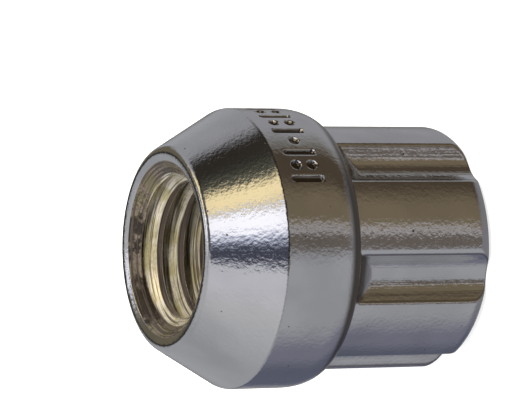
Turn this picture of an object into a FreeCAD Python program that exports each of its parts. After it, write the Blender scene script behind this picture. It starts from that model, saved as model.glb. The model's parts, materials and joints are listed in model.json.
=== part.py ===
import FreeCAD, Part

import math
import os

from FreeCAD import Vector

# Overall form, in millimetres and degrees: the nut stands on its drive end, with the mouth up
overall_length = 22.8
bulge_diameter = 20.6
spline_diameter = 18.0
spline_length = 11.5

# Lip at the drive end: a slight taper into a large rounding
lip_length = 1.7
lip_taper = 15.0
lip_rounding = 1.4

# Shoulder between the bulge and the splined barrel
shoulder_length = 2.2
shoulder_taper = 14.0
shoulder_rounding = 0.92

# Conical seat that bears on the wheel
seat_angle = 60.0
seat_small_diameter = 14.8
seat_tip_rounding = 0.6
seat_foot_chamfer = 0.25

# Threaded hole, plain here at the minor diameter of an M12 x 1.75 thread
thread_minor_diameter = 10.106
countersink_diameter = 13.7
countersink_angle = 105.0

# Clearance bore behind the thread, open at the drive end
clearance_bore_diameter = 13.8
clearance_bore_depth = 8.0
bore_bottom_angle = 118.0

# Splines: straight grooves that run out through the lip and end short of the shoulder
groove_count = 6
groove_width = 3.55
groove_depth = 1.0
groove_wall_angle = 48.6
groove_edge_rounding = 0.4
groove_edge_lift = 5.0
groove_shoulder_gap = 0.2
groove_runout_angle = 38.0

# Sizes that follow from those above
bulge_radius = bulge_diameter / 2
land_radius = spline_diameter / 2
seat_tip_radius = seat_small_diameter / 2
countersink_radius = countersink_diameter / 2
minor_radius = thread_minor_diameter / 2
bore_radius = clearance_bore_diameter / 2

origin = Vector(0, 0, 0)
nut_axis = Vector(0, 0, 1)


def rise(run, cone_angle):
    """Height over which a cone of the whole angle given grows by run in radius."""
    return run / math.tan(math.radians(cone_angle / 2))


def drawn_in(radius, height, taper):
    """Radius left when a wall leans in from radius by taper over height."""
    return radius - height * math.tan(math.radians(taper))


def turned_corner(radius, height, rounding=0):
    """Corner of an outline that is turned about the axis, with its rounding."""
    return Vector(radius, 0, height), rounding


def blank_corners():
    """Outline of the turned blank: up the outside from the drive end, then down the bore."""
    lip_foot_radius = drawn_in(land_radius, lip_length, lip_taper)
    shoulder_foot_radius = drawn_in(bulge_radius, shoulder_length, shoulder_taper)
    shoulder_top = spline_length + shoulder_length
    seat_foot = overall_length - rise(bulge_radius - seat_tip_radius, seat_angle)
    chamfer_top_radius = drawn_in(bulge_radius, seat_foot_chamfer, seat_angle / 2)
    thread_top = overall_length - rise(countersink_radius - minor_radius, countersink_angle)
    thread_foot = clearance_bore_depth + rise(bore_radius - minor_radius, bore_bottom_angle)
    return [
        turned_corner(bore_radius, 0),
        turned_corner(lip_foot_radius, 0, lip_rounding),
        turned_corner(land_radius, lip_length),
        turned_corner(land_radius, spline_length),
        turned_corner(shoulder_foot_radius, spline_length, shoulder_rounding),
        turned_corner(bulge_radius, shoulder_top),
        turned_corner(bulge_radius, seat_foot - seat_foot_chamfer),
        turned_corner(chamfer_top_radius, seat_foot + seat_foot_chamfer),
        turned_corner(seat_tip_radius, overall_length, seat_tip_rounding),
        turned_corner(countersink_radius, overall_length),
        turned_corner(minor_radius, thread_top),
        turned_corner(minor_radius, thread_foot),
        turned_corner(bore_radius, clearance_bore_depth),
    ]


def groove_corners():
    """Section of the groove on +X: round floor, sloping walls and a flare that rounds its edges."""
    edge_half = groove_width / 2
    edge_angle = math.asin(edge_half / land_radius)
    edge = land_radius * math.cos(edge_angle)
    walls_meet = edge - rise(edge_half, 2 * groove_wall_angle)
    floor_height = land_radius - groove_depth - walls_meet
    floor_rounding = floor_height / (1 / math.sin(math.radians(groove_wall_angle)) - 1)
    flare_length = groove_width / 3
    flare_angle = edge_angle - math.radians(groove_edge_lift)
    flare_end = edge - flare_length * math.sin(flare_angle)
    flare_half = edge_half + flare_length * math.cos(flare_angle)
    upper = [
        (Vector(edge, edge_half, 0), groove_edge_rounding),
        (Vector(flare_end, flare_half, 0), 0),
        (Vector(bulge_radius, flare_half, 0), 0),
    ]
    lower = [(Vector(point.x, -point.y, 0), rounding) for point, rounding in reversed(upper)]
    return [(Vector(walls_meet, 0, 0), floor_rounding)] + upper + lower


def tangent_arc(before, corner, after, rounding):
    """Start, crest and end of the arc that rounds the corner between two straight sides."""
    backward = (before - corner).normalize()
    forward = (after - corner).normalize()
    half = backward.getAngle(forward) / 2
    trim = rounding / math.tan(half)
    bisector = (backward + forward).normalize()
    crest = corner + bisector * (rounding / math.sin(half) - rounding)
    return corner + backward * trim, crest, corner + forward * trim


def rounded_face(corners):
    """Flat face whose outline passes through the corners, each rounded as given with it."""
    points = [point for point, rounding in corners]
    arcs = []
    for index, (point, rounding) in enumerate(corners):
        following = points[(index + 1) % len(points)]
        arcs.append(tangent_arc(points[index - 1], point, following, rounding))
    edges = []
    for index, (start, crest, end) in enumerate(arcs):
        if corners[index][1]:
            edges.append(Part.Arc(start, crest, end).toShape())
        next_start = arcs[(index + 1) % len(arcs)][0]
        edges.append(Part.LineSegment(end, next_start).toShape())
    return Part.Face(Part.Wire(edges))


def turned(corners):
    """Solid turned about the nut's axis."""
    return rounded_face(corners).revolve(origin, nut_axis, 360)


def groove_cutter():
    """Trough closed by a slope that meets the land short of the shoulder."""
    land_end = spline_length - groove_shoulder_gap
    reach = 2 * bulge_radius

    def slope_height(radius):
        return land_end + rise(radius - land_radius, 2 * groove_runout_angle)

    trough = rounded_face(groove_corners()).extrude(nut_axis * spline_length)
    envelope = turned([
        turned_corner(0, 0),
        turned_corner(reach, 0),
        turned_corner(reach, slope_height(reach)),
        turned_corner(0, slope_height(0)),
    ])
    return trough.common(envelope)


def lug_nut():
    nut = turned(blank_corners())
    cutter = groove_cutter()
    for index in range(groove_count):
        groove = cutter.copy()
        groove.rotate(origin, nut_axis, index * 360 / groove_count)
        nut = nut.cut(groove)
    return nut


os.makedirs("parts", exist_ok=True)
lug_nut().exportStep("parts/lug_nut.step")
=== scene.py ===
import json
import math

import bmesh
import bpy
import numpy as np
from bpy.props import (
    FloatProperty,
    FloatVectorProperty,
    IntProperty,
    PointerProperty,
    StringProperty,
)
from mathutils import Matrix, Vector


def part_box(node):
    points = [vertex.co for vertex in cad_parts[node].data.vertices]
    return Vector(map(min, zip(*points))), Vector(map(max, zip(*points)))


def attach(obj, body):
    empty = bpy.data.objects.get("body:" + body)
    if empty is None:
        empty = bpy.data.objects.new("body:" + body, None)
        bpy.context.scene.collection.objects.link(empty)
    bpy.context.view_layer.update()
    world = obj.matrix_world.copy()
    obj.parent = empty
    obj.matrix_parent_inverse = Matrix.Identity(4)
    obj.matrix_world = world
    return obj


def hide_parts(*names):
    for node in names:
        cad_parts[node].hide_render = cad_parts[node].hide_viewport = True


bl_info = {
    "name": "Spline lug nut",
    "version": (1, 0, 0),
    "blender": (4, 5, 0),
    "location": "View3D > Sidebar > Lug nut",
    "description": "Dresses the packed lug nut: thread, rounded splines, chrome and a plain stage",
    "category": "Add Mesh",
}

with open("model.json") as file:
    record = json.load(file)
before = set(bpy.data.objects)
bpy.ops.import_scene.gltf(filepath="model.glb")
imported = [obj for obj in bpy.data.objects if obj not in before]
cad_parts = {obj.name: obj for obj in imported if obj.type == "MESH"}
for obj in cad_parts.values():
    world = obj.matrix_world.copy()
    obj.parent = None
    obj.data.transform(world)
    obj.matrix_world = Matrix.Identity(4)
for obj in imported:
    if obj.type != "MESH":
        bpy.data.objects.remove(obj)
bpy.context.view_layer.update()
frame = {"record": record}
nut_low, nut_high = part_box("lug_nut")
nut_mounts = {mount["name"]: mount for mount in frame["record"]["mounts"]}

mm = 0.001
full_turn = 2 * math.pi

# The widest circle that stays inside the frame's box
frame_bulge_radius = min(nut_high.x, nut_high.y, -nut_low.x, -nut_low.y)
frame_length = nut_high.z
frame_minor_radius = nut_mounts["stud_thread"]["dims"]["r_mm"] * mm
frame_clearance_radius = nut_mounts["stud_clearance_bore"]["dims"]["r_mm"] * mm


# Settings

def length_setting(name, description, default):
    return FloatProperty(
        name=name,
        description=description,
        default=default,
        min=0.0,
        precision=5,
        unit="LENGTH",
        subtype="DISTANCE",
    )


def shift_setting(name, description, default):
    return FloatProperty(name=name, description=description, default=default, unit="LENGTH")


def angle_setting(name, description, degrees):
    return FloatProperty(
        name=name,
        description=description,
        default=math.radians(degrees),
        unit="ROTATION",
        subtype="ANGLE",
    )


def factor_setting(name, description, default):
    return FloatProperty(
        name=name,
        description=description,
        default=default,
        min=0.0,
        soft_max=1.0,
        subtype="FACTOR",
    )


def colour_setting(name, description, default):
    return FloatVectorProperty(
        name=name,
        description=description,
        default=default,
        min=0.0,
        soft_max=1.0,
        size=3,
        subtype="COLOR",
    )


class OutlineSettings(bpy.types.PropertyGroup):
    length: length_setting("Length", "Drive end to mouth", frame_length)
    bulge_radius: length_setting("Bulge radius", "Widest radius, below the seat", frame_bulge_radius)
    land_radius: length_setting("Land radius", "Radius over the splines", 9.0 * mm)
    spline_length: length_setting("Spline length", "Drive end to the shoulder", 11.5 * mm)
    lip_width: length_setting("Lip width", "Radial reach of the lip's rounding", 1.79 * mm)
    lip_height: length_setting("Lip height", "Height of the lip's rounding", 1.53 * mm)
    shoulder_length: length_setting("Shoulder length", "Height of the rounded shoulder", 2.2 * mm)
    shoulder_fillet: length_setting("Shoulder fillet", "Between shoulder and barrel", 0.3 * mm)
    seat_angle: angle_setting("Seat angle", "Whole angle of the conical seat", 60)
    seat_tip_radius: length_setting("Seat tip radius", "Seat's radius at the mouth", 7.4 * mm)
    seat_foot_rounding: length_setting("Seat foot rounding", "Between bulge and seat", 0.7 * mm)
    seat_tip_rounding: length_setting("Seat tip rounding", "Between seat and rim", 0.6 * mm)


class GrooveSettings(bpy.types.PropertyGroup):
    count: IntProperty(name="Count", description="Number of grooves", default=6, min=1)
    width: length_setting("Width", "Distance between the land edges", 3.85 * mm)
    floor_rounding: length_setting("Floor rounding", "Radius of the floor between walls", 1.85 * mm)
    wall_angle: angle_setting("Wall angle", "Slope of the walls from the groove's middle plane", 48.6)
    edge_rounding: length_setting("Edge rounding", "Height over which wall and land blend", 0.2 * mm)
    runout_rounding: length_setting("Run-out rounding", "Height of the blend from the floor", 0.3 * mm)
    shoulder_gap: length_setting("Shoulder gap", "Land left between groove and shoulder", 0.2 * mm)
    runout_angle: angle_setting("Run-out angle", "Slope in which the groove ends, from the axis", 40)


class BoreSettings(bpy.types.PropertyGroup):
    minor_radius: length_setting("Thread minor radius", "Radius at the crests", frame_minor_radius)
    major_radius: length_setting("Thread major radius", "Radius at the roots", 6.0 * mm)
    pitch: length_setting("Thread pitch", "Rise of the thread in one turn", 1.75 * mm)
    phase: factor_setting("Thread phase", "Part of a turn by which the thread is shifted", 0.633)
    rim_radius: length_setting("Rim radius", "Outer edge of the sloping plated rim", 7.0 * mm)
    rim_drop: length_setting("Rim drop", "Depth of the plated rim's inner edge", 0.15 * mm)
    countersink_radius: length_setting("Countersink radius", "Widest radius of the cone", 6.45 * mm)
    countersink_angle: angle_setting("Countersink angle", "Whole angle of the mouth's cone", 95)
    clearance_radius: length_setting("Clearance radius", "Radius of the bore", frame_clearance_radius)
    clearance_depth: length_setting("Clearance depth", "Depth of the smooth bore", 8.0 * mm)
    bottom_angle: angle_setting("Bottom angle", "Whole angle of the cone between bore and thread", 118)
    chamfer: length_setting("Chamfer", "Broken edge of the bore at the drive end", 0.12 * mm)


class MarkSettings(bpy.types.PropertyGroup):
    row: StringProperty(
        name="Row",
        description="Plain sunk marks in order: a bar for |, two dots for : and one dot for .",
        default="|:|.|:|:|.||",
    )
    first: angle_setting("First mark", "Azimuth of the first mark", -76)
    step: angle_setting("Step", "Angle from mark to mark", 6.6)
    middle: length_setting("Middle", "Height of the row above the drive end", 15.5 * mm)
    height: length_setting("Height", "Length of a bar", 2.5 * mm)
    stroke: length_setting("Stroke", "Width of a bar", 0.46 * mm)
    dot: length_setting("Dot", "Diameter of a dot", 0.72 * mm)
    depth: length_setting("Depth", "Depth of the marks", 0.22 * mm)
    slope: length_setting("Slope", "Width of a mark's sloping wall", 0.16 * mm)


class ChromeSettings(bpy.types.PropertyGroup):
    plate: colour_setting("Plate", "Colour of the chrome plate", (0.72, 0.72, 0.73))
    roughness: factor_setting("Roughness", "Blur of the plate's reflections", 0.055)
    grain_size: length_setting("Grain size", "Width of one orange-peel cell", 0.3 * mm)
    grain_depth: length_setting("Grain depth", "Depth of the orange peel", 0.022 * mm)
    wave_size: length_setting("Wave size", "Width of the forged surface's soft waves", 1.6 * mm)
    wave_depth: length_setting("Wave depth", "Depth of the soft waves", 0.02 * mm)
    pit_size: length_setting("Pit size", "Distance between pits", 0.8 * mm)
    pit_depth: length_setting("Pit depth", "Depth of a pit", 0.01 * mm)
    # Painted shade: the dark colour painted into the marks' recesses, round the shoulder's foot and on
    # the grooves' walls
    painted_shade: colour_setting("Painted shade", "Dirt in marks, grooves and corners", (0.13, 0.105, 0.075))
    line_size: length_setting("Line size", "Width of the lines drawn along the grooves", 0.2 * mm)
    line_depth: length_setting("Line depth", "Depth of the lines drawn along the grooves", 0.02 * mm)


class BoreFinishSettings(bpy.types.PropertyGroup):
    brass: colour_setting("Thin plate", "Yellowish thin plate on the flanks", (0.66, 0.61, 0.49))
    stain: colour_setting("Stain", "Brown stain on the crests", (0.17, 0.135, 0.12))
    # Painted highlight: the bright line painted along each crest's deeper edge
    crest_highlight: colour_setting("Highlit edge", "Bright edge of the crests", (0.80, 0.78, 0.76))
    cone: colour_setting("Cone", "Brown of the mouth's cone", (0.22, 0.18, 0.145))
    olive: colour_setting("Olive", "Olive cast of the thin plate in places", (0.46, 0.41, 0.24))
    roughness: factor_setting("Roughness", "Blur of the bore's reflections", 0.2)
    metal: factor_setting("Metal", "Metallic part of the finish", 0.65)
    stain_size: length_setting("Stain size", "Width of the stain's patches", 1.6 * mm)
    burn: angle_setting("Burn", "Azimuth of the large dark burn on the mouth's cone", 116)
    burn_reach: angle_setting("Burn reach", "Angle from the burn's middle to its end", 16)
    small_burn: angle_setting("Small burn", "Azimuth of the small burn", 64)
    small_burn_reach: angle_setting("Small burn reach", "Angle from its middle to its end", 9)
    speck_size: length_setting("Speck size", "Width of the dark specks", 0.22 * mm)
    streak: length_setting("Streak", "Width of the streaks round the bore", 0.08 * mm)
    streak_depth: length_setting("Streak depth", "Depth of the streaks round the bore", 0.014 * mm)


class StageSettings(bpy.types.PropertyGroup):
    floor_colour: colour_setting("Floor", "Colour of the plain floor", (0.45, 0.45, 0.45))
    floor_glow: factor_setting("Floor glow", "Light that the floor shows to the camera alone", 0.7)
    floor_size: length_setting("Floor size", "Side of the square floor", 1.6)
    room_light: colour_setting("Room light", "Even light on all that isn't glossy", (0.8, 0.8, 0.8))
    lamp_distance: length_setting("Lamp distance", "Lamps to the nut's middle", 0.5)
    lens: FloatProperty(name="Lens", description="Focal length in millimetres", default=257.43, min=1.0)
    azimuth: angle_setting("Azimuth", "Camera's place round the nut", -105.5)
    elevation: angle_setting("Elevation", "Camera's height above the drive plane", 26.35)
    roll: angle_setting("Roll", "Camera's turn about its line of sight", -90.24)
    distance: length_setting("Distance", "Camera to the nut's middle, along its view", 273.86 * mm)
    side: shift_setting("Side", "Camera's shift to its right", -3.235 * mm)
    rise: shift_setting("Rise", "Camera's shift upwards", 3.239 * mm)


# Outline of the nut

def blend_max(first, second, width):
    """The larger of two values, rounded off where they differ by less than width."""
    overlap = np.maximum(width - np.abs(first - second), 0) / width
    return np.maximum(first, second) + overlap**2 * width / 4


def blend_min(first, second, width):
    return -blend_max(-first, -second, width)


def arc_rows(centre, radial, upright, start, end, rows):
    """Radius and height along an elliptical arc, from start to end in degrees."""
    angles = np.radians(np.linspace(start, end, rows))
    return np.column_stack([
        centre[0] + radial * np.cos(angles),
        centre[1] + upright * np.sin(angles),
    ])


def straight_rows(start, end, rows):
    """Radius and height along a straight side, without its two ends."""
    steps = np.linspace(0, 1, rows + 2)[1:-1, None]
    return np.array(start) + steps * (np.array(end) - np.array(start))


def outline_rows(outline):
    """Radius and height of each mesh row outside, from the flat drive end to the flat rim."""
    land_radius = outline.land_radius
    lip = arc_rows(
        (land_radius - outline.lip_width, outline.lip_height),
        outline.lip_width,
        outline.lip_height,
        -90,
        0,
        rows=16,
    )
    fillet = outline.shoulder_fillet
    hollow = arc_rows(
        (land_radius + fillet, outline.spline_length - fillet),
        fillet,
        fillet,
        180,
        90,
        rows=7,
    )
    shoulder = arc_rows(
        (land_radius + fillet, outline.spline_length + outline.shoulder_length),
        outline.bulge_radius - land_radius - fillet,
        outline.shoulder_length,
        -90,
        0,
        rows=18,
    )
    lean = outline.seat_angle / 2
    seat_foot = outline.length - (outline.bulge_radius - outline.seat_tip_radius) / math.tan(lean)
    foot_trim = outline.seat_foot_rounding * math.tan(lean / 2)
    foot = arc_rows(
        (outline.bulge_radius - outline.seat_foot_rounding, seat_foot - foot_trim),
        outline.seat_foot_rounding,
        outline.seat_foot_rounding,
        0,
        math.degrees(lean),
        rows=6,
    )
    turn = math.pi / 2 - lean
    tip_trim = outline.seat_tip_rounding * math.tan(turn / 2)
    tip = arc_rows(
        (outline.seat_tip_radius - tip_trim, outline.length - outline.seat_tip_rounding),
        outline.seat_tip_rounding,
        outline.seat_tip_rounding,
        math.degrees(lean),
        90,
        rows=9,
    )
    runout_reach = 2.2 * mm
    runout_start = (land_radius, outline.spline_length - runout_reach)
    straight_land = straight_rows(lip[-1], runout_start, rows=8)
    runout_land = straight_rows(runout_start, hollow[0], rows=22)
    bulge = straight_rows(shoulder[-1], foot[0], rows=38)
    seat = straight_rows(foot[-1], tip[0], rows=12)
    return np.vstack([
        lip,
        straight_land,
        runout_land,
        hollow[:-1],
        shoulder,
        bulge,
        foot,
        seat,
        tip,
    ])


def offset_from_groove(grooves, azimuth):
    """Angle between each azimuth and the middle of the nearest groove."""
    pitch = full_turn / grooves.count
    return (azimuth + pitch / 2) % pitch - pitch / 2


def column_azimuths(grooves, marks):
    """Azimuths of the mesh columns outside, close together at marks and groove walls."""
    groove_reach = math.radians(14)
    land_step = math.radians(1.6)
    groove_step = math.radians(0.8)
    mark_step = math.radians(0.42)
    samples = 7201
    fine = np.linspace(0, full_turn, samples)
    from_groove = np.abs(offset_from_groove(grooves, fine))
    density = np.where(from_groove < groove_reach, 1 / groove_step, 1 / land_step)
    mark_start = (marks.first - marks.step) % full_turn
    mark_turn = (len(marks.row) + 1) * marks.step
    at_marks = (fine - mark_start) % full_turn < mark_turn
    density = np.where(at_marks, 1 / mark_step, density)
    running = np.concatenate([[0], np.cumsum((density[1:] + density[:-1]) / 2 * np.diff(fine))])
    count = int(running[-1])
    return np.interp(np.arange(count) * running[-1] / count, running, fine)


def groove_centres(grooves, outline):
    """Distances from the axis at which the walls would meet and of the floor's centre."""
    edge_half = grooves.width / 2
    edge = math.sqrt(outline.land_radius**2 - edge_half**2)
    walls_meet = edge - edge_half / math.tan(grooves.wall_angle)
    return walls_meet, walls_meet + grooves.floor_rounding / math.sin(grooves.wall_angle)


def groove_depth(grooves, outline):
    """Depth of the floor below the lands."""
    floor_centre = groove_centres(grooves, outline)[1]
    return outline.land_radius - floor_centre + grooves.floor_rounding


def groove_radius(grooves, outline, azimuth, height):
    """Radius of the groove surface at each azimuth and height."""
    angle = np.abs(offset_from_groove(grooves, azimuth))
    walls_meet, centre = groove_centres(grooves, outline)
    rounding = grooves.floor_rounding
    across = centre * np.sin(angle)
    floor = centre * np.cos(angle) - np.sqrt(np.maximum(rounding**2 - across**2, 0))
    least_opening = 0.05
    open_side = np.cos(angle) - np.sin(angle) / math.tan(grooves.wall_angle)
    open_side = np.maximum(open_side, least_opening)
    on_floor = floor * np.sin(angle) < rounding * math.cos(grooves.wall_angle)
    section = np.where(on_floor & (across < rounding), floor, walls_meet / open_side)
    land_end = outline.spline_length - grooves.shoulder_gap
    runout = outline.land_radius + (height - land_end) * math.tan(grooves.runout_angle)
    return blend_max(section, runout, grooves.runout_rounding)


def sunk_part(marks, bulge_radius, azimuth, height):
    """How far each place on the bulge is sunk, from 0 beside the marks to 1 in them."""
    upright = height - marks.middle
    sunk = np.zeros(np.broadcast(azimuth, height).shape)
    for place, mark in enumerate(marks.row):
        centre = marks.first + place * marks.step
        along = ((azimuth - centre + math.pi) % full_turn - math.pi) * bulge_radius
        if mark == "|":
            reach = (marks.height - marks.stroke) / 2
            beyond = np.maximum(np.abs(upright) - reach, 0)
            inside = marks.stroke / 2 - np.hypot(along, beyond)
        else:
            offset = marks.height / 4 if mark == ":" else 0
            inside = marks.dot / 2 - np.hypot(along, np.abs(upright) - offset)
        fall = np.clip(inside / marks.slope + 0.5, 0, 1)
        sunk = np.maximum(sunk, smooth_step(fall))
    return sunk


def outside_sleeve(settings):
    """Points of the outside, as rows by columns."""
    outline = settings.outline
    rows = outline_rows(outline)
    azimuth = column_azimuths(settings.grooves, settings.marks)[None, :]
    blank = rows[:, :1]
    height = rows[:, 1:]
    groove = groove_radius(settings.grooves, outline, azimuth, height)
    cut = blend_min(blank, groove, settings.grooves.edge_rounding)
    in_grooves = (height > 0) & (height < outline.spline_length)
    radius = np.where(in_grooves, cut, blank)
    sunk = sunk_part(settings.marks, outline.bulge_radius, azimuth, height)
    return cylinder_points(radius - settings.marks.depth * sunk, azimuth, height)


# Bore with its thread

def thread_radius(bore, turns):
    """Radius of the threaded wall, by the number of turns from the middle of a crest."""
    # Flats of a metric thread, as parts of its pitch
    crest_part = 0.25
    root_part = 0.125
    from_crest = np.abs((turns + 0.5) % 1 - 0.5) * 2
    flank = (from_crest - crest_part) / (1 - crest_part - root_part)
    return bore.minor_radius + (bore.major_radius - bore.minor_radius) * np.clip(flank, 0, 1)


def threaded_sleeve(settings, columns):
    """Points of the threaded wall, its rows following the helix from the cone to the mouth."""
    bore = settings.bore
    top = settings.outline.length - bore.rim_drop
    foot = bore.clearance_depth
    azimuth = np.linspace(0, full_turn, columns + 1)[None, :]
    rows_to_a_turn = 16
    step = bore.pitch / rows_to_a_turn
    start = np.arange(foot - bore.pitch - 2 * step, top + 2 * step, step)[:, None]
    height = np.clip(start + bore.pitch * azimuth / full_turn, foot, top)
    turns = height / bore.pitch - azimuth / full_turn - bore.phase
    mouth = bore.countersink_radius - (top - height) * math.tan(bore.countersink_angle / 2)
    bottom = bore.clearance_radius - (height - foot) * math.tan(bore.bottom_angle / 2)
    radius = np.maximum(thread_radius(bore, turns), np.maximum(mouth, bottom))
    return cylinder_points(radius, azimuth, height)


def mouth_sleeve(settings, columns):
    """Points of the plated rim that slopes from its rounded edge to the mouth's cone."""
    bore = settings.bore
    azimuth = np.linspace(0, full_turn, columns + 1)[None, :]
    rows = 8
    hollowness = 1.4
    inward = np.linspace(1, 0, rows)[:, None]
    radius = bore.rim_radius + inward * (bore.countersink_radius - bore.rim_radius)
    height = settings.outline.length - bore.rim_drop * inward**hollowness
    return cylinder_points(radius, azimuth, height)


def clearance_sleeve(settings, columns):
    """Points of the smooth bore, from the chamfer to the foot of the cone."""
    bore = settings.bore
    azimuth = np.linspace(0, full_turn, columns + 1)[None, :]
    rim_radius = bore.clearance_radius + bore.chamfer
    radius = np.array([[rim_radius], [bore.clearance_radius], [bore.clearance_radius]])
    height = np.array([[0.0], [bore.chamfer], [bore.clearance_depth]])
    return cylinder_points(radius, azimuth, height)


# Mesh

# Places of the two materials on the nut
plate_slot = 0
bore_slot = 1


def cylinder_points(radius, azimuth, height):
    radius, azimuth, height = np.broadcast_arrays(radius, azimuth, height)
    return np.stack([radius * np.cos(azimuth), radius * np.sin(azimuth), height], axis=-1)


def add_sleeve(mesh, points, closed, material):
    """Faces between neighbouring rows and columns, where closed also from the last to the first."""
    rows, columns = points.shape[:2]
    vertices = [[mesh.verts.new(point) for point in row] for row in points]
    last = columns if closed else columns - 1
    for row in range(rows - 1):
        for column in range(last):
            following = (column + 1) % columns
            corners = [
                vertices[row][column],
                vertices[row][following],
                vertices[row + 1][following],
                vertices[row + 1][column],
            ]
            mesh.faces.new(corners).material_index = material


def azimuth_of(vertex):
    return math.atan2(vertex.co.y, vertex.co.x) % full_turn


def join_rims(mesh, height, between):
    """Flat ring at a height, between two rims that lie either side of a radius."""
    near = 0.01 * mm
    rims = [vertex for vertex in mesh.verts if vertex.is_boundary]
    rims = [vertex for vertex in rims if abs(vertex.co.z - height) < near]
    rims.sort(key=azimuth_of)
    sides = (
        [vertex for vertex in rims if math.hypot(*vertex.co.xy) < between],
        [vertex for vertex in rims if math.hypot(*vertex.co.xy) > between],
    )
    steps = [(full_turn, 0), (full_turn, 1)]
    for side, rim in enumerate(sides):
        steps += [(azimuth_of(vertex), side) for vertex in rim[1:]]
    reached = [0, 0]
    for azimuth, side in sorted(steps):
        here = [rim[step % len(rim)] for rim, step in zip(sides, reached)]
        reached[side] += 1
        following = sides[side][reached[side] % len(sides[side])]
        mesh.faces.new([*here, following])


def nut_mesh(settings):
    """Whole nut: the bore's sleeves sewn together, the outside, and the two flat rings between."""
    columns = 160
    seam = 1e-4 * mm
    just_outside = 0.03 * mm
    sharp_edge = math.radians(38)
    mesh = bmesh.new()
    add_sleeve(mesh, threaded_sleeve(settings, columns), closed=False, material=bore_slot)
    add_sleeve(mesh, mouth_sleeve(settings, columns), closed=False, material=plate_slot)
    add_sleeve(mesh, clearance_sleeve(settings, columns), closed=False, material=bore_slot)
    bmesh.ops.remove_doubles(mesh, verts=mesh.verts[:], dist=seam)
    add_sleeve(mesh, outside_sleeve(settings), closed=True, material=plate_slot)
    join_rims(mesh, 0, settings.bore.clearance_radius + settings.bore.chamfer + just_outside)
    join_rims(mesh, settings.outline.length, settings.bore.rim_radius + just_outside)
    bmesh.ops.recalc_face_normals(mesh, faces=mesh.faces[:])
    for face in mesh.faces:
        face.smooth = True
    data = bpy.data.meshes.new("lug_nut_dressed")
    mesh.to_mesh(data)
    mesh.free()
    data.set_sharp_from_angle(angle=sharp_edge)
    note_shade_and_grooves(data, settings)
    return data


def smooth_step(part):
    return part**2 * (3 - 2 * part)


def note_shade_and_grooves(data, settings):
    """Point attributes: painted shade in the marks and at the shoulder's foot, and groove in the
    grooves.
    """
    outline = settings.outline
    points = np.empty(3 * len(data.vertices))
    data.vertices.foreach_get("co", points)
    points = points.reshape(-1, 3)
    height = points[:, 2]
    azimuth = np.arctan2(points[:, 1], points[:, 0])
    sunk = sunk_part(settings.marks, outline.bulge_radius, azimuth, height)
    radius = np.hypot(points[:, 0], points[:, 1])
    depth = groove_depth(settings.grooves, outline)
    deepest = 1.05 * depth
    outside = radius > outline.land_radius - deepest
    rows = outline_rows(outline)
    sunk_depth = np.interp(height, rows[:, 1], rows[:, 0]) - radius
    in_grooves = outside & (height > 0) & (height < outline.spline_length)
    edge_depth = 0.3 * depth
    groove = np.where(in_grooves, np.clip(sunk_depth / edge_depth, 0, 1), 0)
    # Painted shade reaches from the shoulder's foot up the shoulder and down the grooves' floors, over
    # their run-outs
    groove_shade_reach = 1.5 * mm
    shade_above = 0.7 * outline.shoulder_length
    shade_below = outline.shoulder_fillet + groove_shade_reach * groove
    above_foot = height - outline.spline_length
    from_foot = np.where(above_foot > 0, above_foot / shade_above, -above_foot / shade_below)
    foot = smooth_step(np.clip(1 - from_foot, 0, 1))
    # Painted shade: darker in the marks' recesses and in the corner at the shoulder's foot
    painted_shade = np.where(outside, np.maximum(sunk, foot), 0)
    for name, values in (("painted_shade", painted_shade), ("groove", groove)):
        data.attributes.new(name, "FLOAT", "POINT").data.foreach_set("value", values)


# Materials

def new_material(name):
    material = bpy.data.materials.new(name)
    material.use_nodes = True
    nodes = material.node_tree.nodes
    nodes.clear()
    output = nodes.new("ShaderNodeOutputMaterial")
    shader = nodes.new("ShaderNodeBsdfPrincipled")
    material.node_tree.links.new(shader.outputs["BSDF"], output.inputs["Surface"])
    return material, shader


def math_node(tree, operation, first, second=None, third=None):
    node = tree.nodes.new("ShaderNodeMath")
    node.operation = operation
    for socket, value in zip(node.inputs, (first, second, third)):
        if value is None:
            continue
        if isinstance(value, (int, float)):
            socket.default_value = value
        else:
            tree.links.new(value, socket)
    return node.outputs["Value"]


def multiply(tree, first, second):
    return math_node(tree, "MULTIPLY", first, second)


def noise_node(tree, place, size, detail=2.0, roughness=0.5):
    """Noise whose cells are about size wide."""
    noise = tree.nodes.new("ShaderNodeTexNoise")
    tree.links.new(place, noise.inputs["Vector"])
    noise.inputs["Detail"].default_value = detail
    noise.inputs["Roughness"].default_value = roughness
    if isinstance(size, float):
        noise.inputs["Scale"].default_value = 1 / size
    else:
        tree.links.new(math_node(tree, "DIVIDE", 1.0, size), noise.inputs["Scale"])
    return noise.outputs["Fac"]


def remap(tree, value, low, high, to_low=0.0, to_high=1.0):
    """Soft step from to_low to to_high while the value goes from low to high."""
    node = tree.nodes.new("ShaderNodeMapRange")
    node.interpolation_type = "SMOOTHSTEP"
    tree.links.new(value, node.inputs["Value"])
    node.inputs["From Min"].default_value = low
    node.inputs["From Max"].default_value = high
    node.inputs["To Min"].default_value = to_low
    node.inputs["To Max"].default_value = to_high
    return node.outputs["Result"]


def mix_colours(tree, factor, first, second):
    node = tree.nodes.new("ShaderNodeMix")
    node.data_type = "RGBA"
    tree.links.new(factor, node.inputs["Factor"])
    for socket, value in ((node.inputs["A"], first), (node.inputs["B"], second)):
        if isinstance(value, bpy.types.NodeSocket):
            tree.links.new(value, socket)
        else:
            socket.default_value = (*value, 1)
    return node.outputs["Result"]


def darker(colour, share):
    return tuple(share * part for part in colour)


def attribute(tree, name):
    node = tree.nodes.new("ShaderNodeAttribute")
    node.attribute_name = name
    return node.outputs["Fac"]


def object_place(tree):
    return tree.nodes.new("ShaderNodeTexCoord").outputs["Object"]


def bump(tree, height, shader):
    """Relief with its height in metres."""
    node = tree.nodes.new("ShaderNodeBump")
    node.inputs["Distance"].default_value = 1.0
    tree.links.new(height, node.inputs["Height"])
    tree.links.new(node.outputs["Normal"], shader.inputs["Normal"])


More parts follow.
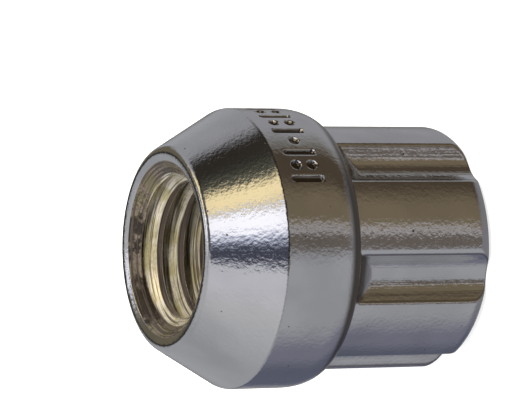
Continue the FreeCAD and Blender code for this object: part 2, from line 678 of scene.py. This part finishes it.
def group_tree(name, inputs, outputs):
    """Shader node group with float inputs, given with their defaults, and float outputs."""
    tree = bpy.data.node_groups.new(name, "ShaderNodeTree")
    for label, default in inputs:
        socket = tree.interface.new_socket(label, in_out="INPUT", socket_type="NodeSocketFloat")
        socket.default_value = default
    for label in outputs:
        tree.interface.new_socket(label, in_out="OUTPUT", socket_type="NodeSocketFloat")
    return tree, tree.nodes.new("NodeGroupInput"), tree.nodes.new("NodeGroupOutput")


def metal_skin_group():
    """Relief and blemishes of a plated metal skin: soft waves, orange peel and pits, in metres."""
    tree, inputs, outputs = group_tree(
        "metal_skin",
        [
            ("Grain size", 0.2 * mm),
            ("Grain depth", 0.002 * mm),
            ("Wave size", 1.6 * mm),
            ("Wave depth", 0.006 * mm),
            ("Pit size", 0.8 * mm),
            ("Pit depth", 0.01 * mm),
        ],
        ["Relief", "Pits", "Cloud"],
    )
    place = object_place(tree)
    wave_size = inputs.outputs["Wave size"]
    pit_size = inputs.outputs["Pit size"]
    grain = noise_node(tree, place, inputs.outputs["Grain size"], 3.0, 0.55)
    wave = noise_node(tree, place, wave_size)
    cloud = noise_node(tree, place, multiply(tree, wave_size, 2.5))
    cell = tree.nodes.new("ShaderNodeTexVoronoi")
    tree.links.new(place, cell.inputs["Vector"])
    tree.links.new(math_node(tree, "DIVIDE", 1.0, pit_size), cell.inputs["Scale"])
    reach = remap(tree, noise_node(tree, place, pit_size), 0.5, 0.75, 0.0, 0.16)
    pits = remap(tree, math_node(tree, "SUBTRACT", reach, cell.outputs["Distance"]), 0.0, 0.05)
    relief = multiply(tree, grain, inputs.outputs["Grain depth"])
    relief = math_node(tree, "MULTIPLY_ADD", wave, inputs.outputs["Wave depth"], relief)
    sunk = multiply(tree, pits, inputs.outputs["Pit depth"])
    relief = math_node(tree, "SUBTRACT", relief, sunk)
    tree.links.new(relief, outputs.inputs["Relief"])
    tree.links.new(pits, outputs.inputs["Pits"])
    tree.links.new(cloud, outputs.inputs["Cloud"])
    return tree


def place_group(tree, group, **values):
    """Outputs of the group, placed with the values given by the names of its inputs."""
    node = tree.nodes.new("ShaderNodeGroup")
    node.node_tree = group
    for label, value in values.items():
        node.inputs[label.replace("_", " ").capitalize()].default_value = value
    return node.outputs


def plate_colour(tree, look, surface, groove):
    """Bright plate with dull clouds and dark pits, and with painted shade where the mesh notes it and
    along the grooves' edges.
    """
    dull = darker(look.plate, 0.9)
    pitted = darker(look.plate, 0.25)
    cloudy = mix_colours(tree, remap(tree, surface["Cloud"], 0.4, 0.7), look.plate, dull)
    colour = mix_colours(tree, surface["Pits"], cloudy, pitted)
    # Painted shade in the marks and round the shoulder's foot
    shaded = remap(tree, attribute(tree, "painted_shade"), 0.1, 0.6, 0.0, 0.9)
    colour = mix_colours(tree, shaded, colour, look.painted_shade)
    # Painted shade: a darker band on the grooves' walls just inside their edges
    past_edge = remap(tree, groove, 0.2, 0.4)
    before_wall = remap(tree, groove, 0.8, 0.5, 0.0, 0.6)
    return mix_colours(tree, multiply(tree, past_edge, before_wall), colour, look.painted_shade)


def drawn_lines(tree, look, groove):
    """Height of the lines that run along the grooves."""
    squeeze = 0.02
    lengthwise = tree.nodes.new("ShaderNodeMapping")
    lengthwise.inputs["Scale"].default_value = (1, 1, squeeze)
    tree.links.new(object_place(tree), lengthwise.inputs["Vector"])
    lines = noise_node(tree, lengthwise.outputs["Vector"], look.line_size, 1.0)
    return multiply(tree, multiply(tree, lines, groove), look.line_depth)


def chrome_material(look, skin):
    """Bright plate on the outside and the rim."""
    material, shader = new_material("chrome_plate")
    tree = material.node_tree
    shader.inputs["Metallic"].default_value = 1.0
    surface = place_group(
        tree,
        skin,
        grain_size=look.grain_size,
        grain_depth=look.grain_depth,
        wave_size=look.wave_size,
        wave_depth=look.wave_depth,
        pit_size=look.pit_size,
        pit_depth=look.pit_depth,
    )
    groove = attribute(tree, "groove")
    tree.links.new(plate_colour(tree, look, surface, groove), shader.inputs["Base Color"])
    blur = remap(tree, surface["Cloud"], 0.3, 0.7, look.roughness, look.roughness * 1.5)
    tree.links.new(blur, shader.inputs["Roughness"])
    relief = math_node(tree, "ADD", surface["Relief"], drawn_lines(tree, look, groove))
    bump(tree, relief, shader)
    return material


def cylinder_place(tree, place):
    """Azimuth, radius and height of a place about the nut's axis."""
    parts = tree.nodes.new("ShaderNodeSeparateXYZ")
    tree.links.new(place, parts.inputs["Vector"])
    azimuth = math_node(tree, "ARCTAN2", parts.outputs["Y"], parts.outputs["X"])
    squared = multiply(tree, parts.outputs["X"], parts.outputs["X"])
    squared = math_node(tree, "MULTIPLY_ADD", parts.outputs["Y"], parts.outputs["Y"], squared)
    return azimuth, math_node(tree, "SQRT", squared), parts.outputs["Z"]


def along_thread(tree, look, bore, azimuth, radius, height):
    """Bore wall unrolled along the helix, so that noise on it makes streaks round the bore."""
    streaks_to_a_radian = 2.5
    wall = tree.nodes.new("ShaderNodeCombineXYZ")
    off_helix = math_node(tree, "MULTIPLY_ADD", azimuth, -bore.pitch / full_turn, height)
    tree.links.new(multiply(tree, azimuth, look.streak * streaks_to_a_radian), wall.inputs["X"])
    tree.links.new(radius, wall.inputs["Y"])
    tree.links.new(off_helix, wall.inputs["Z"])
    return wall.outputs["Vector"]


def thread_colour(tree, look, bore, azimuth, height, patches):
    """Thin plate on the flanks, stain on the crests and a painted highlight beside each crest, along
    its deeper edge.
    """
    turns = math_node(tree, "MULTIPLY_ADD", azimuth, -1 / full_turn, 0.5 - bore.phase)
    turns = math_node(tree, "MULTIPLY_ADD", height, 1 / bore.pitch, turns)
    from_crest = math_node(tree, "SUBTRACT", math_node(tree, "FRACT", turns), 0.5)
    off_crest = math_node(tree, "ABSOLUTE", from_crest)
    # Painted highlight: a thin bright line along each crest's deeper edge
    highlight_offset = 0.14
    off_edge = math_node(tree, "ABSOLUTE", math_node(tree, "ADD", from_crest, highlight_offset))
    flank = mix_colours(tree, patches, look.brass, look.olive)
    colour = mix_colours(tree, remap(tree, off_crest, 0.15, 0.11), flank, look.stain)
    return mix_colours(tree, remap(tree, off_edge, 0.035, 0.01), colour, look.crest_highlight)


def cone_mask(tree, bore, mouth, radius, height):
    """The mouth's cone: near the mouth and wider than the crests."""
    soft = 0.1 * mm
    low = mouth - 1.25 * mm
    narrow = bore.minor_radius + 0.5 * mm
    near_mouth = remap(tree, height, low, low + soft)
    return multiply(tree, near_mouth, remap(tree, radius, narrow, narrow + soft))


def soil_mask(tree, look, place, on_cone):
    """Dark specks in patches, thicker on the cone."""
    specks = remap(tree, noise_node(tree, place, look.speck_size, 4.0, 0.7), 0.48, 0.6)
    patches = remap(tree, noise_node(tree, place, look.stain_size * 1.4, 1.0), 0.4, 0.6)
    thickness = remap(tree, on_cone, 0.0, 1.0, 0.35, 1.0)
    soiled = multiply(tree, specks, multiply(tree, patches, thickness))
    return multiply(tree, soiled, 0.85)


def burn_mask(tree, middle, reach, ragged, on_cone):
    """Burn on the cone about an azimuth, soft at its ends."""
    noise_middle = 0.5
    from_burn = math_node(tree, "SUBTRACT", ragged, middle + noise_middle)
    closeness = math_node(tree, "COSINE", from_burn)
    burnt = remap(tree, closeness, math.cos(1.6 * reach), math.cos(0.4 * reach), 0.0, 0.9)
    return multiply(tree, burnt, on_cone)


def bore_colour(tree, look, bore, mouth, place, streaks, scratches):
    """Thread and cone with their soil, burns, streaks and scratches."""
    azimuth, radius, height = cylinder_place(tree, place)
    on_cone = cone_mask(tree, bore, mouth, radius, height)
    patches = remap(tree, noise_node(tree, place, look.stain_size, 3.0), 0.42, 0.62)
    thread = thread_colour(tree, look, bore, azimuth, height, patches)
    dark_line = darker(look.stain, 0.4)
    cone = mix_colours(tree, patches, look.cone, darker(look.olive, 0.4))
    cone = mix_colours(tree, remap(tree, scratches, 0.42, 0.56, 0.0, 0.8), cone, dark_line)
    colour = mix_colours(tree, on_cone, thread, cone)
    soil = darker(look.stain, 0.3)
    colour = mix_colours(tree, soil_mask(tree, look, place, on_cone), colour, soil)
    colour = mix_colours(tree, remap(tree, streaks, 0.48, 0.62, 0.0, 0.6), colour, look.stain)
    ragged = math_node(tree, "ADD", azimuth, noise_node(tree, place, look.stain_size * 0.4))
    unscratched = remap(tree, scratches, 0.64, 0.52)
    burns = ((look.burn, look.burn_reach), (look.small_burn, look.small_burn_reach))
    for middle, reach in burns:
        burnt = multiply(tree, burn_mask(tree, middle, reach, ragged, on_cone), unscratched)
        colour = mix_colours(tree, burnt, colour, darker(look.cone, 0.08))
    return mix_colours(tree, remap(tree, scratches, 0.53, 0.62, 0.0, 0.8), colour, dark_line)


def bore_material(look, skin, bore, mouth):
    """Stained thin plate on the thread and the mouth's cone, with streaks round the bore."""
    material, shader = new_material("bore_finish")
    tree = material.node_tree
    shader.inputs["Metallic"].default_value = look.metal
    place = object_place(tree)
    wall = along_thread(tree, look, bore, *cylinder_place(tree, place))
    scratch_width = look.streak * 2.5
    streaks = noise_node(tree, wall, look.streak, 2.0, 0.6)
    scratches = noise_node(tree, wall, scratch_width, 1.0)
    colour = bore_colour(tree, look, bore, mouth, place, streaks, scratches)
    tree.links.new(colour, shader.inputs["Base Color"])
    blur = remap(tree, streaks, 0.3, 0.7, look.roughness * 0.6, look.roughness * 1.3)
    tree.links.new(blur, shader.inputs["Roughness"])
    surface = place_group(tree, skin, grain_depth=0.004 * mm, wave_depth=0.01 * mm)
    relief = math_node(tree, "MULTIPLY_ADD", streaks, look.streak_depth, surface["Relief"])
    bump(tree, relief, shader)
    return material


# Stage

def floor_material(stage):
    material, shader = new_material("plain_floor")
    tree = material.node_tree
    shader.inputs["Base Color"].default_value = (*stage.floor_colour, 1)
    shader.inputs["Roughness"].default_value = 1.0
    shader.inputs["Specular IOR Level"].default_value = 0.0
    shader.inputs["Emission Color"].default_value = (1, 1, 1, 1)
    seen = tree.nodes.new("ShaderNodeLightPath").outputs["Is Camera Ray"]
    tree.links.new(multiply(tree, seen, stage.floor_glow), shader.inputs["Emission Strength"])
    return material


def add_floor(stage):
    """Plain floor that the chrome doesn't mirror."""
    mesh = bmesh.new()
    bmesh.ops.create_grid(mesh, x_segments=1, y_segments=1, size=stage.floor_size / 2)
    data = bpy.data.meshes.new("floor")
    mesh.to_mesh(data)
    mesh.free()
    data.materials.append(floor_material(stage))
    floor = bpy.data.objects.new("floor", data)
    bpy.context.scene.collection.objects.link(floor)
    floor.visible_glossy = False


def direction(azimuth, elevation):
    level = math.cos(elevation)
    return Vector((level * math.cos(azimuth), level * math.sin(azimuth), math.sin(elevation)))


def nut_middle():
    return Vector((0, 0, frame_length / 2))


def add_lamp(stage, name, aside, elevation, size, power, colour=(1, 1, 1)):
    """Soft square lamp aimed at the nut's middle, with its angles in radians, unseen in the chrome."""
    data = bpy.data.lights.new(name, "AREA")
    data.size = size
    data.color = colour
    data.energy = power
    lamp = bpy.data.objects.new(name, data)
    bpy.context.scene.collection.objects.link(lamp)
    away = direction(stage.azimuth + aside, elevation)
    lamp.location = nut_middle() + away * stage.lamp_distance
    lamp.rotation_euler = away.to_track_quat("Z", "Y").to_euler()
    lamp.visible_glossy = False
    lamp.visible_camera = False


def add_lamps(stage):
    warm = (1.0, 0.92, 0.7)
    add_lamp(stage, "key_lamp", aside=-0.9, elevation=0.9, size=0.5, power=1.6)
    add_lamp(stage, "fill_lamp", aside=1.2, elevation=0.7, size=0.5, power=0.8)
    add_lamp(stage, "mouth_lamp", aside=0.2, elevation=0.85, size=0.15, power=1.6)
    add_lamp(stage, "warm_lamp", aside=0.85, elevation=0.8, size=0.12, power=3.2, colour=warm)


def add_camera(stage):
    away = direction(stage.azimuth, stage.elevation)
    turn = away.to_track_quat("Z", "Y").to_matrix()
    turn = turn @ Matrix.Rotation(stage.roll, 3, "Z")
    shift = turn @ Vector((stage.side, stage.rise, 0))
    data = bpy.data.cameras.new("camera")
    data.lens = stage.lens
    data.clip_start = 10 * mm
    camera = bpy.data.objects.new("camera", data)
    bpy.context.scene.collection.objects.link(camera)
    camera.rotation_euler = turn.to_euler()
    camera.location = nut_middle() + away * stage.distance + shift
    bpy.context.scene.camera = camera


def ramp(tree, value, stops):
    """Colour ramp over -180 to 180 degrees, with stops given as degrees and colour."""
    node = tree.nodes.new("ShaderNodeValToRGB")
    tree.links.new(value, node.inputs["Fac"])
    elements = node.color_ramp.elements
    while len(elements) > 1:
        elements.remove(elements[-1])
    for index, (degrees, colour) in enumerate(stops):
        position = degrees / 360 + 0.5
        element = elements[0] if index == 0 else elements.new(position)
        element.position = position
        element.color = (*colour, 1)
    return node.outputs["Color"]


# Colours of the room that the chrome mirrors
pale_wall = (0.64, 0.64, 0.68)
wall = (0.56, 0.56, 0.57)
wall_foot = (0.395, 0.40, 0.415)
grey_wall = (0.39, 0.40, 0.42)
far_wall = (0.34, 0.34, 0.36)
blue_shade = (0.12, 0.128, 0.175)
deep_blue_shade = (0.06, 0.065, 0.09)
soft_blue_shade = (0.20, 0.20, 0.255)
window = (1.35, 1.33, 1.40)
window_edge = (0.66, 0.71, 0.87)
window_bar = (0.42, 0.42, 0.46)
warm_window = (1.19, 0.98, 0.56)
dim_room = (0.14, 0.137, 0.104)
shade = (0.052, 0.050, 0.038)
dark_room = (0.033, 0.028, 0.022)
bench = (0.205, 0.163, 0.105)
bench_edge = (0.15, 0.127, 0.108)
bench_light = (0.52, 0.50, 0.51)
dark_bench = (0.082, 0.061, 0.042)
grey_bench = (0.21, 0.20, 0.18)
ground = (0.23, 0.226, 0.243)
back_wall = (0.16, 0.16, 0.155)
back_shade = (0.155, 0.135, 0.095)
deep_back_shade = (0.035, 0.032, 0.028)
crown_shade = (0.10, 0.098, 0.10)
crown_light = (0.50, 0.50, 0.51)

# Bands of the room, from the lowest up. Each is given by the elevations between which it takes over
# from the one below, and by its colours at azimuths that are counted from the camera's. All angles
# are in degrees
room_bands = (
    ((-70, -46), (
        (-172, back_wall),
        (-164, far_wall),
        (-152, blue_shade),
        (-118, blue_shade),
        (-103, soft_blue_shade),
        (-90, soft_blue_shade),
        (-66, wall_foot),
        (-38, wall_foot),
        (-14, grey_wall),
        (-5, far_wall),
        (1, bench_edge),
        (11, bench_edge),
        (16, bench_light),
        (23, bench),
        (42, bench),
        (61, dark_bench),
        (83, dark_bench),
        (95, grey_bench),
        (112, far_wall),
        (150, far_wall),
        (172, back_wall),
    )),
    ((-20, -13), (
        (-150, grey_wall),
        (-60, far_wall),
        (-25, far_wall),
        (-12, dark_room),
        (105, dark_room),
        (125, far_wall),
        (150, grey_wall),
    )),
    ((-5, 6), (
        (-177, deep_back_shade),
        (-171, grey_wall),
        (-112, grey_wall),
        (-60, wall),
        (-38, pale_wall),
        (-17, pale_wall),
        (-12.5, blue_shade),
        (-8, deep_blue_shade),
        (0, deep_blue_shade),
        (3, blue_shade),
        (12, window_edge),
        (18, window),
        (34.5, window),
        (38.5, window_bar),
        (43, warm_window),
        (57, warm_window),
        (66, dim_room),
        (77, shade),
        (88, dark_room),
        (102, dark_room),
        (114, far_wall),
        (138, grey_wall),
        (150, back_shade),
        (172, back_shade),
        (177, deep_back_shade),
    )),
    ((42, 54), (
        (-60, crown_light),
        (-15, pale_wall),
        (-5, crown_shade),
        (98, crown_shade),
        (109, warm_window),
        (140, warm_window),
        (149, crown_shade),
        (156, crown_shade),
        (163, window_edge),
        (171, window),
        (178, crown_light),
    )),
    ((68, 76), (
        (-100, crown_light),
        (-60, grey_wall),
        (60, grey_wall),
        (95, window),
        (150, window),
        (175, crown_light),
    )),
)


def room_colour(tree, ray, camera_azimuth):
    """Colour of the room in the direction of a ray."""
    turn = tree.nodes.new("ShaderNodeVectorRotate")
    turn.rotation_type = "Z_AXIS"
    turn.inputs["Angle"].default_value = -camera_azimuth
    tree.links.new(ray, turn.inputs["Vector"])
    parts = tree.nodes.new("ShaderNodeSeparateXYZ")
    tree.links.new(turn.outputs["Vector"], parts.inputs["Vector"])
    azimuth = math_node(tree, "ARCTAN2", parts.outputs["Y"], parts.outputs["X"])
    place = math_node(tree, "MULTIPLY_ADD", azimuth, 1 / full_turn, 0.5)
    colour = ground
    for elevations, stops in room_bands:
        lower, upper = (math.sin(math.radians(degrees)) for degrees in elevations)
        above = remap(tree, parts.outputs["Z"], lower, upper)
        colour = mix_colours(tree, above, colour, ramp(tree, place, stops))
    return colour


def add_world(stage):
    """White to the camera, an even pale room to the floor, and to the chrome a room of soft bands."""
    white = (1.0, 1.0, 1.0)
    world = bpy.data.worlds.new("studio")
    world.use_nodes = True
    tree = world.node_tree
    tree.nodes.clear()
    ray = tree.nodes.new("ShaderNodeTexCoord").outputs["Generated"]
    room = room_colour(tree, ray, stage.azimuth)
    lights = tree.nodes.new("ShaderNodeLightPath")
    plain = mix_colours(tree, lights.outputs["Is Glossy Ray"], stage.room_light, room)
    seen = mix_colours(tree, lights.outputs["Is Camera Ray"], plain, white)
    background = tree.nodes.new("ShaderNodeBackground")
    tree.links.new(seen, background.inputs["Color"])
    output = tree.nodes.new("ShaderNodeOutputWorld")
    tree.links.new(background.outputs["Background"], output.inputs["Surface"])
    bpy.context.scene.world = world


# Operators and panel

class LUGNUT_OT_nut(bpy.types.Operator):
    """Make the threaded, splined and plated nut in place of the plain one"""

    bl_idname = "lugnut.nut"
    bl_label = "Make the nut"

    def execute(self, context):
        settings = context.scene.lug_nut
        data = nut_mesh(settings)
        skin = metal_skin_group()
        mouth = settings.outline.length
        data.materials.append(chrome_material(settings.chrome, skin))
        data.materials.append(bore_material(settings.bore_finish, skin, settings.bore, mouth))
        nut = bpy.data.objects.new("lug_nut_dressed", data)
        context.scene.collection.objects.link(nut)
        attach(nut, "root")
        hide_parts("lug_nut")
        return {"FINISHED"}


class LUGNUT_OT_stage(bpy.types.Operator):
    """Set up the floor, the soft lamps, the room that the chrome mirrors and the camera"""

    bl_idname = "lugnut.stage"
    bl_label = "Set the stage"

    def execute(self, context):
        stage = context.scene.lug_nut.stage
        add_floor(stage)
        add_lamps(stage)
        add_world(stage)
        add_camera(stage)
        context.scene.view_settings.view_transform = "Standard"
        return {"FINISHED"}


class LUGNUT_PT_panel(bpy.types.Panel):
    """The nut and its stage"""

    bl_idname = "LUGNUT_PT_panel"
    bl_label = "Lug nut"
    bl_space_type = "VIEW_3D"
    bl_region_type = "UI"
    bl_category = "Lug nut"

    def draw(self, context):
        for operator in (LUGNUT_OT_nut, LUGNUT_OT_stage):
            self.layout.operator(operator.bl_idname)


class LugNutSettings(bpy.types.PropertyGroup):
    outline: PointerProperty(type=OutlineSettings)
    grooves: PointerProperty(type=GrooveSettings)
    bore: PointerProperty(type=BoreSettings)
    marks: PointerProperty(type=MarkSettings)
    chrome: PointerProperty(type=ChromeSettings)
    bore_finish: PointerProperty(type=BoreFinishSettings)
    stage: PointerProperty(type=StageSettings)


classes = (
    OutlineSettings,
    GrooveSettings,
    BoreSettings,
    MarkSettings,
    ChromeSettings,
    BoreFinishSettings,
    StageSettings,
    LugNutSettings,
    LUGNUT_OT_nut,
    LUGNUT_OT_stage,
    LUGNUT_PT_panel,
)


def register():
    for item in classes:
        bpy.utils.register_class(item)
    bpy.types.Scene.lug_nut = PointerProperty(type=LugNutSettings)


def unregister():
    del bpy.types.Scene.lug_nut
    for item in reversed(classes):
        bpy.utils.unregister_class(item)


def main():
    register()
    bpy.ops.lugnut.nut()
    bpy.ops.lugnut.stage()


if __name__ == "__main__":
    main()
